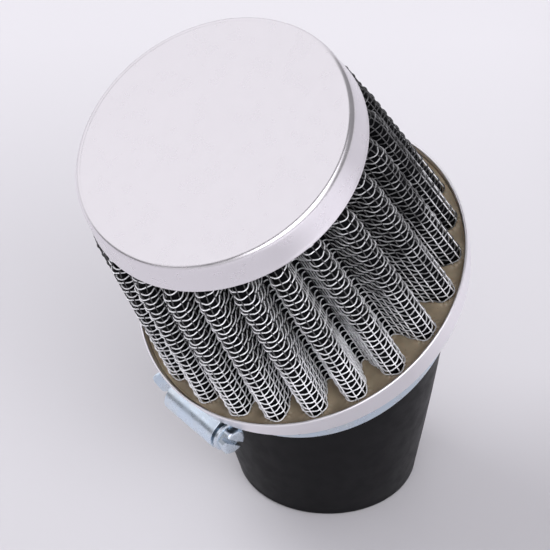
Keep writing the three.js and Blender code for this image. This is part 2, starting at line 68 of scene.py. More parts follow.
BAND_WIDTH, BAND_SHEET, SADDLE_SHEET, TAIL_SHEET = 8.0, 0.7, 0.6, 0.6
CLAMP_BELOW_PAN, CLAMP_AZIMUTH = 6.0, 172.0
HOUSING_BACK, HOUSING_FRONT, HOUSING_SHEET, BAND_END_OFFSET = -10.5, 6.5, 0.7, 8.2
TAIL_FRONT, TAIL_CURL_START, TAIL_CURL_R, TAIL_CURL, TAIL_LIP = 4.5, -11.2, 4.5, 70.0, 2.0
THREAD_R, THREAD_ROOT_R, THREAD_PITCH, JOURNAL_R = 3.0, 2.2, 2.0, 1.6
FLANGE_R, FLANGE_THICK, FLANGE_OFFSET = 3.7, 1.1, 0.6
HEX_ACROSS, HEX_LENGTH, HEAD_TURN = 6.0, 2.4, 23.0
SLOT_WIDTH, SLOT_DEPTH, TIP_LENGTH = 1.1, 1.6, 1.0

foot_r = BORE_R + NECK_WALL
socket_r = SPIGOT_R + SEAT
collar_r = socket_r + COLLAR_WALL + COLLAR_SHIFT
spigot_in = SPIGOT_R - SPIGOT_SHEET
spigot_end = -PAN_DEPTH - SPIGOT_REACH
flange_foot = -PAN_DEPTH + PAN_SHEET + SEAT
ledge = spigot_end - SEAT
collar_top = -PAN_DEPTH - SEAT
pack_thick = 2 * WIRE_CLOTH + FILTER_CLOTH + 2 * SEAT
pack_foot = -RESIN_BELOW_RIM + SEAT
cap_foot = CAP_TOP - CAP_DEPTH
cap_edge = CAP_SHOULDER_R - CAP_DISC_R
cap_edge_level = CAP_TOP - cap_edge
pack_head = CAP_TOP - CAP_SHEET - 2 * SEAT - CAP_RESIN_DEPTH
band_inner = collar_r + SEAT
band_outer = band_inner + BAND_SHEET
band_middle = -PAN_DEPTH - CLAMP_BELOW_PAN
tail_bottom = band_outer + SEAT
tail_top = tail_bottom + TAIL_SHEET
screw_r = tail_top + SEAT + THREAD_R


def pan_wall(z):
    """The pan's outer radius at a level."""
    low = -PAN_DEPTH + PAN_CORNER_R
    return PAN_FOOT_R + (z - low) / (-PAN_SHEET / 2 - low) * (PAN_RIM_R - PAN_FOOT_R)


def skirt(z):
    """The cap's outer radius at a level."""
    up = (z - cap_foot) / (cap_edge_level - cap_foot)
    return CAP_SKIRT_R + up * (CAP_SHOULDER_R - CAP_SKIRT_R)


# The three places to build in

# HEAD has its origin on the slanted axis at the pan's rim, CLAMP on the same axis at the band's
# middle with X towards the screw, and FOOT on the ground in the middle of the neck's foot.
joints = {j["name"]: j for j in frame["joints"]}
mounts = {m["name"]: m for m in frame["record"]["mounts"]}


def place(origin, x, y, z):
    """A matrix with the origin and the three directions given."""
    m = np.eye(4)
    m[:3] = np.stack([x, y, z, origin], 1)
    return m


slant = np.array(joints["head_swivel"]["axis"], float)
slant /= np.linalg.norm(slant)
head_x, head_y = np.array([slant[2], 0.0, -slant[0]]), np.array([0.0, 1.0, 0.0])
HEAD = place(joints["head_swivel"]["pos_m"], head_x, head_y, slant)
turn = math.radians(CLAMP_AZIMUTH)
clamp_x = math.cos(turn) * head_x + math.sin(turn) * head_y
clamp_y = -math.sin(turn) * head_x + math.cos(turn) * head_y
CLAMP = place(joints["clamp_turn"]["pos_m"], clamp_x, clamp_y, slant)
FOOT = place((mounts["neck_foot"]["pos_m"][0], 0.0, 0.0), (1, 0, 0), (0, 1, 0), (0, 0, 1))

# How a shape is made


def linked(name, data):
    """A new object in the scene."""
    ob = bpy.data.objects.new(name, data)
    bpy.context.scene.collection.objects.link(ob)
    return ob


def meshed(name, bm):
    """A new mesh from a finished bmesh."""
    me = bpy.data.meshes.new(name)
    bm.to_mesh(me)
    bm.free()
    return me


def solid_copy(ob):
    """A new mesh of an object as its curve or modifiers leave it."""
    bpy.context.view_layer.update()
    return bpy.data.meshes.new_from_object(ob.evaluated_get(bpy.context.evaluated_depsgraph_get()))


def arc(x, y, r, a, b, n=8):
    """Points on an arc round x, y from a to b degrees, as plain pairs."""
    t = np.radians(np.linspace(a, b, n + 1))
    return np.stack([x + r * np.cos(t), y + r * np.sin(t)], 1).tolist()


def circle(n):
    """n angles spaced evenly round a circle."""
    return 2 * np.pi * np.arange(n) / n


def polar(r, a):
    """Points at the radius r and the angles a."""
    return np.stack([r * np.cos(a), r * np.sin(a)], -1)


def moved(out):
    """The points that an extrusion made."""
    return [g for g in out["geom"] if isinstance(g, bmesh.types.BMVert)]


def spun(profile, steps=ROUND_STEPS):
    """A profile of radius and height, spun once round the axis. One that starts off the axis is
    closed on itself."""
    bm = bmesh.new()
    points = [bm.verts.new((r, 0.0, z)) for r, z in profile]
    pairs = list(zip(points, points[1:]))
    if profile[0][0] > 0:
        pairs.append((points[-1], points[0]))
    edges = [bm.edges.new(pair) for pair in pairs]
    bmesh.ops.spin(bm, geom=points + edges, cent=(0, 0, 0), axis=(0, 0, 1), dvec=(0, 0, 0),
                   angle=2 * math.pi, steps=steps, use_merge=True)
    bmesh.ops.remove_doubles(bm, verts=bm.verts, dist=1e-5)
    return bm


def wrapped(rings, joined=True, weave=None):
    """A grid laid over rings of points and welded where it meets itself. A joined one runs on
    from its last ring to its first, and another gets a face at each end. weave holds the
    cloth's own two lengths for each point, and goes into a UV map."""
    rings = np.asarray(rings, float)
    rows = np.concatenate([rings, rings[:1]]) if joined else rings
    laid = np.concatenate([rows, rows[:, :1]], 1)
    bm = bmesh.new()
    bmesh.ops.create_grid(bm, x_segments=laid.shape[1] - 1, y_segments=len(laid) - 1, size=1.0)
    for v, p in zip(bm.verts, laid.reshape(-1, 3).tolist()):
        v.co = p
    if weave is not None:
        uv = bm.loops.layers.uv.new("cloth")
        lengths = weave.reshape(-1, 2).tolist()
        bm.verts.index_update()
        for f in bm.faces:
            for corner in f.loops:
                corner[uv].uv = lengths[corner.vert.index]
    bmesh.ops.remove_doubles(bm, verts=bm.verts, dist=1e-4)
    if not joined:
        bmesh.ops.holes_fill(bm, edges=[e for e in bm.edges if e.is_boundary])
    return bm


def drawn(outline, start, end):
    """A flat outline of X and Z, extruded along the screw."""
    bm = bmesh.new()
    face = bm.faces.new([bm.verts.new((x, start, z)) for x, z in outline])
    out = bmesh.ops.extrude_face_region(bm, geom=[face])
    bmesh.ops.translate(bm, verts=moved(out), vec=(0, end - start, 0))
    return bm


def smooth_by_angle(bm, degrees):
    """Marks the edges sharper than the angle as sharp, so that flat places shade flat."""
    for e in bm.edges:
        e.smooth = not (len(e.link_faces) == 2 and e.calc_face_angle(0) > math.radians(degrees))


def bevelled(ob, name, width, segments, degrees):
    """A live bevel on the corners over an angle, with its width in millimetres."""
    bevel = ob.modifiers.new(name, "BEVEL")
    bevel.width, bevel.segments = width * MM, segments
    bevel.limit_method, bevel.angle_limit = "ANGLE", math.radians(degrees)


def in_metres(at):
    """From millimetres in one of the three places to metres in the scene."""
    return Matrix(at.tolist()) @ Matrix.Scale(MM, 4)


def piece(name, bm, at, body, finish, node, sharp=None, eased=0.0, valley_shade=None):
    """Puts a shape made in millimetres in its place, and lets it ride on its body. Edges over
    sharp degrees stay crisp, and eased is the width that the long corners are bevelled to.
    The last argument gives how deep in a valley each point lies. It goes into a UV map, from
    which the wire's finish paints shade that darkens the valleys."""
    bmesh.ops.transform(bm, matrix=in_metres(at), verts=bm.verts)
    bmesh.ops.recalc_face_normals(bm, faces=bm.faces)
    if sharp:
        smooth_by_angle(bm, sharp)
    for f in bm.faces:
        f.smooth = True
    me = meshed(name, bm)
    if valley_shade is not None:
        corner = np.zeros(len(me.loops), int)
        me.loops.foreach_get("vertex_index", corner)
        depth = np.stack([valley_shade[corner], np.zeros(len(corner))], 1)
        me.uv_layers.new(name="cloth").data.foreach_set("uv", depth.astype(np.float32).ravel())
    me.materials.append(finish)
    ob = linked(name, me)
    if eased:
        bevelled(ob, "eased", eased, 3, 35)
        ob.modifiers.new("normals", "WEIGHTED_NORMAL").keep_sharp = False
    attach(ob, body)
    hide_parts(node)
    return ob


# Finishes


class Finish:
    """A material of shader nodes, on the piece's own coordinates."""

    def __init__(self, name, color, rough, metal=0.0, **sockets):
        self.mat = bpy.data.materials.new(name)
        self.mat.use_nodes = True
        self.tree = self.mat.node_tree
        self.shader = self.tree.nodes["Principled BSDF"]
        self.coord = self.node("ShaderNodeTexCoord")
        self.set(self.shader, Metallic=metal, Roughness=rough, **sockets)
        self.shader.inputs["Base Color"].default_value = (*color, 1)

    def node(self, kind, **values):
        """A new node with its properties set."""
        n = self.tree.nodes.new(kind)
        for k, v in values.items():
            setattr(n, k, v)
        return n

    def set(self, n, **values):
        """Writes sockets by name, with _ for each space."""
        for k, v in values.items():
            n.inputs[k.replace("_", " ")].default_value = v

    def link(self, a, b):
        """Joins the output a to the input b."""
        self.tree.links.new(a, b)

    def feed(self, sockets, values):
        """Links or writes each value into its socket."""
        for socket, v in zip(sockets, values):
            if isinstance(v, bpy.types.NodeSocket):
                self.link(v, socket)
            else:
                socket.default_value = (*v, 1) if isinstance(v, tuple) else v

    def split(self, source):
        """X, Y and Z of the piece's Object coordinates or of its UV map."""
        n = self.node("ShaderNodeSeparateXYZ")
        self.link(self.coord.outputs[source], n.inputs[0])
        return n.outputs

    def noise(self, scale, detail=4.0, rough=0.55, stretch=None):
        """Noise from 0 to 1, with scale features to a metre, drawn out by stretch."""
        n = self.node("ShaderNodeTexNoise")
        self.set(n, Scale=scale, Detail=detail, Roughness=rough)
        where = self.coord.outputs["Object"]
        if stretch:
            m = self.node("ShaderNodeMapping")
            m.inputs["Scale"].default_value = stretch
            self.link(where, m.inputs["Vector"])
            where = m.outputs[0]
        self.link(where, n.inputs["Vector"])
        return n.outputs["Fac"]

    def ramp(self, fac, low, high, a=0.35, b=0.65):
        """A value or colour that goes from low to high as fac goes from a to b."""
        if isinstance(low, tuple):
            r = self.node("ShaderNodeValToRGB")
            e = r.color_ramp.elements
            e[0].position, e[1].position = a, b
            e[0].color, e[1].color = (*low, 1), (*high, 1)
            self.link(fac, r.inputs[0])
            return r.outputs[0]
        m = self.node("ShaderNodeMapRange")
        self.set(m, From_Min=a, From_Max=b, To_Min=low, To_Max=high)
        self.link(fac, m.inputs[0])
        return m.outputs[0]

    def mix(self, fac, a, b):
        """The colour a where fac is 0 and b where it is 1."""
        m = self.node("ShaderNodeMix", data_type="RGBA")
        self.feed((m.inputs[0], m.inputs[6], m.inputs[7]), (fac, a, b))
        return m.outputs[2]

    def math(self, op, *values):
        """One sum on outputs and numbers."""
        m = self.node("ShaderNodeMath", operation=op)
        self.feed(m.inputs, values)
        return m.outputs[0]

    def color(self, out):
        """Gives the shader its colour."""
        self.link(out, self.shader.inputs["Base Color"])

    def rough(self, out):
        """Gives the shader its roughness."""
        self.link(out, self.shader.inputs["Roughness"])

    def bump(self, height, distance):
        """Relief of the given depth in metres, on top of any before it."""
        b = self.node("ShaderNodeBump")
        self.set(b, Distance=distance, Strength=1.0)
        self.link(height, b.inputs["Height"])
        normal = self.shader.inputs["Normal"]
        if normal.is_linked:
            self.link(normal.links[0].from_socket, b.inputs["Normal"])
        self.link(b.outputs[0], normal)


def tint(color, by):
    """The colour made darker."""
    return tuple(c * by for c in color)


def satin(name, color, rough):
    """Satin plated sheet: soft mottling, fine grain and a few scuffs."""
    m = Finish(name, color, rough, metal=1.0)
    base = m.ramp(m.noise(60, 4), tint(color, 0.98), color, 0.2, 0.8)
    mark = m.ramp(m.noise(520, 1, stretch=(0.06, 1, 1)), 0.0, 0.35, 0.765, 0.81)
    m.color(m.mix(mark, base, tint(color, 0.96)))
    haze = m.ramp(m.noise(300, 3), rough - 0.02, rough + 0.04)
    m.rough(m.math("MULTIPLY_ADD", mark, 0.07, haze))
    m.bump(m.noise(2600, 2, stretch=(1, 1, 0.15)), 2e-6)
    return m.mat


def zinc(name, color, rough):
    """Blue zinc plate: bright, with a faint warm cloud and dull specks."""
    m = Finish(name, color, rough, metal=1.0)
    warm = (color[0] * 1.06, color[1] * 0.99, color[2] * 0.92)
    cloud = m.ramp(m.noise(160, 3), color, warm, 0.45, 0.75)
    speck = m.ramp(m.noise(1500, 2), 0.0, 0.35, 0.68, 0.78)
    m.color(m.mix(speck, cloud, tint(color, 0.7)))
    haze = m.ramp(m.noise(400, 3), rough - 0.05, rough + 0.08)
    m.rough(m.math("MULTIPLY_ADD", speck, 0.2, haze))
    m.bump(m.noise(1800, 3), 5e-6)
    return m.mat


def wire(name, color, rough):
    """Bright drawn wire with a dull white skin, and painted shade that darkens it towards the
    valleys, where UV X is 1."""
    m = Finish(name, color, rough, metal=0.3)
    mottled_tone = m.ramp(m.noise(700, 3), tint(color, 0.86), color, 0.3, 0.6)
    uneven = m.ramp(m.noise(240, 3), -0.06, 0.06)
    # Painted shade: the colour falls to nearly black down the flanks into the valleys, in place of the shade
    # there.
    valley_shade = m.ramp(m.math("ADD", m.split("UV")[0], uneven), 0.0, 1.0, 0.2, 0.45)
    m.color(m.mix(valley_shade, mottled_tone, tint(color, 0.06)))
    m.rough(m.ramp(m.noise(1500, 2), rough - 0.06, rough + 0.12))
    m.bump(m.noise(5000, 2), 8e-6)
    return m.mat


def resin():
    """Cast tan resin with a rough skin, soft clouds and a few dark specks."""
    m = Finish("resin_tan", (0.30, 0.24, 0.155), 0.42, Specular_IOR_Level=0.45,
               Subsurface_Weight=0.08, Subsurface_Scale=0.0012)
    tone = m.ramp(m.noise(220, 5), (0.185, 0.148, 0.1), (0.28, 0.227, 0.155), 0.3, 0.7)
    speck = m.ramp(m.noise(1700, 2), 0.0, 0.8, 0.70, 0.78)
    m.color(m.mix(speck, tone, (0.10, 0.075, 0.05)))
    m.rough(m.ramp(m.noise(500, 3), 0.34, 0.55))
    m.bump(m.noise(450, 5, 0.6), 9e-5)
    return m.mat


def rubber():
    """Matt black moulded rubber with a fine grain."""
    m = Finish("rubber_black", (0.006, 0.006, 0.007), 0.45, Specular_IOR_Level=0.11)
    m.color(m.ramp(m.noise(120, 5), (0.0042, 0.0041, 0.0048), (0.0058, 0.0057, 0.0066), 0.3, 0.7))
    m.rough(m.ramp(m.noise(260, 4), 0.40, 0.50))
    m.bump(m.noise(2600, 3, 0.6), 1.2e-5)
    return m.mat


def gauze():
    """Black filter cloth: a fine plain weave, oiled, with thin grey threads."""
    m = Finish("filter_black", (0.003, 0.003, 0.004), 0.8, Specular_IOR_Level=0.06)
    lengths, thread_pitch = m.split("UV"), 0.55

    def threads(length):
        """1 on a thread's middle and 0 between threads."""
        waves = m.math("MULTIPLY", length, 2 * math.pi / thread_pitch)
        return m.math("MULTIPLY_ADD", m.math("SINE", waves), 0.5, 0.5)

    both = m.math("MAXIMUM", threads(lengths[0]), threads(lengths[1]))
    weave = m.ramp(both, (0.0006, 0.0006, 0.0009), (0.0032, 0.0034, 0.0046), 0.45, 0.95)
    lint = m.ramp(m.noise(900, 4), 0.0, 0.6, 0.62, 0.72)
    m.color(m.mix(lint, weave, (0.007, 0.0072, 0.0088)))
    m.rough(m.ramp(m.noise(500, 3), 0.6, 0.9))
    m.bump(both, 5e-5)
    m.bump(m.noise(350, 3), 1.2e-4)
    return m.mat


CAP = satin("cap_satin", (0.82, 0.795, 0.825), 0.24)
PAN = satin("pan_satin", (0.95, 0.93, 0.96), 0.33)
WIRE = wire("wire_bright", (0.97, 0.975, 1.0), 0.22)
WIRE_IN = wire("wire_inside", (0.62, 0.63, 0.66), 0.38)
RESIN = resin()
RUBBER = rubber()
GAUZE = gauze()
ZINC = zinc("zinc_blue", (0.70, 0.805, 0.91), 0.28)
SCREW_ZINC = zinc("screw_zinc_blue", (0.67, 0.75, 0.83), 0.26)

# Cap, pan, spigot


def end_cap():
    """Cap: a flat disc inside a shallow pressed bead, a rounded edge, and a skirt with a
    thin hem turned out at its foot."""
    disc, bead_in, bead_out = CAP_TOP - 0.05, 29.75, 30.15
    edge_wide, edge_high = 1.25, 1.45
    hem, hem_r, flare, flare_level, hem_level = 0.12, 0.28, 0.02, cap_foot + 0.9, cap_foot + 0.6
    outer = [(r, disc) for r in (0, 6, 14, 22, 27, 29, 29.7)]
    for r in np.linspace(bead_in + 0.05, bead_out, 8):
        lift = 0.5 - 0.5 * math.cos(math.pi * (r - bead_in) / (bead_out - bead_in))
        outer.append((r, disc + (CAP_TOP - disc) * lift))
    for a in np.linspace(0.06, 1.45, 18):
        outer.append((bead_out + edge_wide * math.sin(a), CAP_TOP - edge_high * (1 - math.cos(a))))
    outer += [(skirt(CAP_TOP - down), CAP_TOP - down) for down in (2, 3, 5, 6.4)]
    outer += [(skirt(flare_level) + flare, flare_level), (skirt(hem_level) + 0.8 * hem, hem_level)]
    outer += arc(CAP_SKIRT_R - CAP_SHEET / 2 + hem / 2, cap_foot + hem_r, hem_r, 0, -180, 8)
    inner = [(skirt(CAP_TOP - down) - CAP_SHEET, CAP_TOP - down) for down in (6.8, 5, 2)]
    inner += arc(CAP_DISC_R - 0.4, cap_edge_level - 0.4, cap_edge - 0.15, 0, 90, 6)
    inner += [(20, CAP_TOP - CAP_SHEET), (0, CAP_TOP - CAP_SHEET)]
    piece("cap_shell", spun(outer + inner, FINE_STEPS), HEAD, "head", CAP, "end_cap",
          sharp=CRISP)


def base_pan():
    """Pan: a floor with the spigot's hole, a rounded corner, and a wall with a rolled rim."""
    lip, edge, half_way = PAN_SHEET / 2, 0.1, 33.5
    floor = -PAN_DEPTH + PAN_SHEET
    corner_x, corner_z = PAN_FOOT_R - PAN_CORNER_R, -PAN_DEPTH + PAN_CORNER_R
    profile = [(socket_r, -PAN_DEPTH + edge), (socket_r + edge, -PAN_DEPTH), (half_way, -PAN_DEPTH)]
    profile += arc(corner_x, corner_z, PAN_CORNER_R, -90, 0, 12)
    profile += [(pan_wall(z), z) for z in (-6, -4, -2, -1)]
    profile += arc(PAN_RIM_R - lip, -lip, lip, 0, 180, 12)
    profile += [(pan_wall(z) - PAN_SHEET, z) for z in (-2, -5)]
    profile += arc(corner_x, corner_z, PAN_CORNER_R - PAN_SHEET, 0, -90, 6)
    profile += [(socket_r + edge, floor), (socket_r, floor - edge)]
    piece("pan_shell", spun(profile, FINE_STEPS), HEAD, "head", PAN, "base_pan",
          sharp=CRISP)


def spigot():
    """Spigot: a short tube with rounded lips, and a flange that lies on the pan's floor."""
    top, lip, bend_r, half_way = flange_foot + SPIGOT_SHEET, 0.3, 0.8, 29
    profile = [(spigot_in, spigot_end + lip)]
    profile += arc(spigot_in + lip, spigot_end + lip, lip, 180, 270, 4)[1:]
    profile += arc(SPIGOT_R - lip, spigot_end + lip, lip, 270, 360, 4)
    profile += [(SPIGOT_R, -14), (SPIGOT_R, flange_foot), (SPIGOT_FLANGE_R, flange_foot)]
    profile += [(SPIGOT_FLANGE_R, top), (half_way, top)]
    profile += arc(spigot_in + bend_r, top - bend_r, bend_r, 90, 180, 6)
    piece("spigot_tube", spun(profile), HEAD, "head", PAN, "spigot", sharp=CRISP)


# Pleated pack


def crest_azimuth(k):
    """The direction of pleat k's crest, with the slow drift of a hand-folded pack."""
    even = np.radians(FIRST_AZIMUTH) + 2 * np.pi * np.asarray(k, float) / PLEATS
    return even - np.radians(DRIFT) * np.cos(DRIFT_WAVES * (even - np.radians(DRIFT_AZIMUTH)))


def fold_azimuth(k):
    """The direction of the inner fold after pleat k."""
    return (crest_azimuth(k) + crest_azimuth(np.asarray(k) + 1)) / 2


CREST, FLANK_IN, FOLD, FLANK_OUT = range(4)


class End:
    """The pack's outline at one level: crest arcs, flanks and fold arcs of every pleat."""

    def __init__(self, z, outer_r, depth, crest_r, fold_r):
        self.z, self.crest_r, self.fold_r = z, crest_r, fold_r
        crest_c, fold_c = outer_r - crest_r, outer_r - depth + fold_r + pack_thick
        k = np.arange(PLEATS)
        self.crest = polar(crest_c, crest_azimuth(k))
        self.fold = polar(fold_c, fold_azimuth(k))
        before_fold = polar(fold_c, fold_azimuth(k - 1))

        def flank(to, sign):
            """The direction that a flank between a crest and a fold faces."""
            along = to - self.crest
            lean = np.arccos((crest_r + fold_r) / np.hypot(along[:, 0], along[:, 1]))
            return np.arctan2(along[:, 1], along[:, 0]) - sign * lean

        self.before, self.after = flank(before_fold, -1), flank(self.fold, 1)
        self.next = np.roll(self.before, -1)
        self.crest_sweep = (self.after - self.before) % (2 * np.pi)
        self.fold_sweep = (self.after - self.next) % (2 * np.pi)

    def at(self, k, seg, f, depth):
        """Points and outward normals at the fraction f of a pleat's segment, depth below the
        outer face."""
        a = self.before[k] + self.crest_sweep[k] * f
        b = self.after[k] + np.pi - self.fold_sweep[k] * f
        crest, fold, following = self.crest[k], self.fold[k], self.crest[(k + 1) % PLEATS]
        rc, rf = self.crest_r - depth, self.fold_r + depth
        leave, reach = crest + polar(rc, self.after[k]), fold - polar(rf, self.after[k])
        go, come = fold - polar(rf, self.next[k]), following + polar(rc, self.next[k])
        ff = f[..., None]
        points = (crest + polar(rc, a), leave + (reach - leave) * ff,
                  fold + polar(rf, b), go + (come - go) * ff)
        normals = (polar(1.0, a), polar(1.0, self.after[k]),
                   -polar(1.0, b), polar(1.0, self.next[k]))
        out, nor = np.zeros(k.shape + (2,)), np.zeros(k.shape + (2,))
        for s in (CREST, FLANK_IN, FOLD, FLANK_OUT):
            hit = seg == s
            out[hit], nor[hit] = points[s][hit], normals[s][hit]
        return out, nor


# Three outlines make the pack: at its foot, at the shoulder below the cap, and at its head.
shoulder_r = CAP_SKIRT_R + SHOULDER_BEYOND_CAP
enter_r = skirt(cap_foot) - CAP_SHEET - HEAD_CLEARANCE
lean_in = (enter_r - shoulder_r) / SHOULDER_BELOW_CAP
end_foot = End(pack_foot, pan_wall(pack_foot) - PAN_SHEET - FOOT_CLEARANCE, **FOOT_PLEAT)
end_shoulder = End(cap_foot - SHOULDER_BELOW_CAP, shoulder_r, **SHOULDER_PLEAT)
end_head = End(pack_head, enter_r + lean_in * (pack_head - cap_foot), **HEAD_PLEAT)


def pack_at(k, seg, f, z, depth):
    """Points (x, y, z) and outward normals of the pack, at levels z, rounded at the shoulder."""
    k, seg, f, z, depth = np.broadcast_arrays(k, seg, f, z, np.asarray(depth, float))
    foot, shoulder, head = [e.at(k, seg, f, depth) for e in (end_foot, end_shoulder, end_head)]
    bend, soft = end_shoulder.z, SHOULDER_SOFT
    low, high = bend - end_foot.z, end_head.z - bend
    t = np.clip((z - bend + soft) / (2 * soft), 0, 1)[..., None]
    level = z[..., None]
    out = []
    for a, b, c in zip(foot, shoulder, head):
        below = a + (b - a) * (level - end_foot.z) / low
        above = b + (c - b) * (level - bend) / high
        enter, leave = a + (b - a) * (low - soft) / low, b + (c - b) * soft / high
        curve = (1 - t) ** 2 * enter + 2 * t * (1 - t) * b + t**2 * leave
        out.append(np.where((t > 0) & (t < 1), curve, np.where(level < bend, below, above)))
    p, n = out
    n = n / np.linalg.norm(n, axis=-1, keepdims=True)
    return np.concatenate([p, level], -1), n


def perimeter(level_z, depth, count):
    """count places spaced evenly round the pack at one level, as pleat, segment and fraction."""
    fine = 100
    seg = np.tile(np.repeat(np.arange(4), fine), PLEATS)
    f = np.tile((np.arange(fine) + 0.5) / fine, 4 * PLEATS)
    k = np.repeat(np.arange(PLEATS), 4 * fine)
    p, _ = pack_at(k, seg, f, np.full(k.shape, level_z), depth)
    gap = np.linalg.norm(np.diff(p, axis=0, append=p[:1]), axis=1)
    run = np.concatenate([[0], np.cumsum(gap)])
    at = np.interp(np.arange(count) / count * run[-1], run, np.arange(len(run)))
    i = np.minimum(at.astype(int), len(k) - 1)
    part = f[i] + (at - i) / fine
    over = part > 1
    part, segs = np.where(over, part - 1, part), seg[i] + over
    return np.where(segs > 3, k[i] + 1, k[i]) % PLEATS, segs % 4, part


def wire_section(sides):
    """The wire's cross-section, that a curve carries along its path."""
    curve = bpy.data.curves.new("wire_section", "CURVE")
    ring = curve.splines.new("POLY")
    ring.points.add(sides - 1)
    for point, (x, y) in zip(ring.points, polar(WIRE_R, circle(sides))):
        point.co = (x, y, 0, 1)
    ring.use_cyclic_u = True
    return linked("wire_section", curve)


def wires(paths, sides, closed):
    """Wires drawn along paths of points, with closed ends, as one shape."""
    section = wire_section(sides)
    curve = bpy.data.curves.new("wires", "CURVE")
    curve.dimensions, curve.bevel_mode, curve.bevel_object = "3D", "OBJECT", section
    for path in paths:
        spline = curve.splines.new("POLY")
        spline.points.add(len(path) - 1)
        co = np.concatenate([path, np.ones((len(path), 1))], 1)
        spline.points.foreach_set("co", co.astype(np.float32).ravel())
        spline.use_cyclic_u = closed
    ob = linked("wires", curve)
    mesh = solid_copy(ob)
    bm = bmesh.new()
    bm.from_mesh(mesh)
    if not closed:
        bmesh.ops.holes_fill(bm, edges=[e for e in bm.edges if e.is_boundary])
    bpy.data.meshes.remove(mesh)
    for done in (ob, section):
        data = done.data
        bpy.data.objects.remove(done)
        bpy.data.curves.remove(data)
    return bm


def wire_cloth(name, node, depth, steps_per_warp, sides, crimp, finish):
    """Woven wire: straight wires along the pleats, crimped ones round them. The wires round the
    pleats make two pieces, a lower and an upper one."""
    sway, sway_steps, slip, crimp_shape = 0.10, 31, 0.05, 0.8
    warp_slip, warp_waver, warp_points = 0.03, 0.02, 24
    levels = np.arange(pack_foot + 0.5, pack_head - 0.4, WEFT_PITCH)
    k, seg, f = perimeter(MIDDLE_LEVEL, depth, WARP_WIRES * steps_per_warp)
    # How deep in a valley each place lies: 0 on the crest and 1 in the fold. The wire's painted valley shade is
    # read from it.
    valley = np.choose(seg, [0 * f, f, 0 * f + 1, 1 - f])
    step = np.arange(WARP_WIRES * steps_per_warp) / steps_per_warp
    half = len(levels) // 2
    for part, chosen in enumerate((range(half), range(half, len(levels)))):
        paths = []
        for i in chosen:
            along = step * 2 * np.pi / sway_steps
            shift = sway * np.sin(along + rng.uniform(0, ANY_PHASE)) + slip * rng.normal()
            p, n = pack_at(k, seg, f, levels[i] + shift, depth)
            wave = np.cos(np.pi * step) * (1 if i % 2 else -1)
            p[:, :2] += n * (crimp * np.sign(wave) * np.abs(wave) ** crimp_shape)[:, None]
            paths.append(p)
        piece(f"{name}_weft_{part + 1}", wires(paths, sides, True), HEAD, "head", finish, node,
              valley_shade=np.tile(np.repeat(valley, sides), len(paths)))
    k, seg, f, valley = (v[::steps_per_warp] for v in (k, seg, f, valley))
    zs = np.linspace(pack_foot - 0.4, pack_head, warp_points)
    jitter = rng.normal(0, warp_slip, (WARP_WIRES, 1))
    jitter = jitter + warp_waver * rng.normal(size=(WARP_WIRES, len(zs)))
    p, n = pack_at(k[:, None], seg[:, None], f[:, None], zs[None], depth)
    p[..., :2] += np.stack([-n[..., 1], n[..., 0]], -1) * jitter[..., None]
    piece(f"{name}_warp", wires(p, sides, False), HEAD, "head", finish, node,
          valley_shade=np.repeat(valley, len(zs) * sides))


def cloth_grid(crest_steps, flank_steps, fold_steps):
    """Places round the pack, as pleat, segment and fraction, with more where it bends."""
    steps = (crest_steps, flank_steps, fold_steps, flank_steps)
    k, seg, f = zip(*[(k, s, i / n) for k in range(PLEATS)
                      for s, n in enumerate(steps) for i in range(n)])
    return np.array(k), np.array(seg), np.array(f)


def filter_cloth():
    """Filter cloth: one pleated sheet between the two wire cloths, slightly swollen."""
    k, seg, f = cloth_grid(10, 8, 8)
    zs = np.linspace(pack_foot - 0.3, pack_head, 30)
    slack, swell, swell_waves = 0.05, 0.05, 0.55
    outer = WIRE_CLOTH + SEAT + slack
    rings, lengths = [], []
    ripple = rng.uniform(0, ANY_PHASE, PLEATS)
    for levels, depth in ((zs, outer), (zs[::-1], outer + FILTER_CLOTH - 2 * slack)):
        for z in levels:
            p, n = pack_at(k, seg, f, np.full(k.shape, z), depth)
            p[:, :2] += n * (swell * np.sin(z * swell_waves + ripple[k]) * (seg % 2))[:, None]
            rings.append(p)
            around = np.cumsum(np.linalg.norm(np.diff(p, axis=0, append=p[:1]), axis=1))
            around = np.concatenate([[0], around])
            lengths.append(np.stack([around, np.full(len(around), z)], 1))
    bm = wrapped(rings, weave=np.array(lengths + lengths[:1]))
    piece("filter_sheet", bm, HEAD, "head", GAUZE, "filter_cloth")


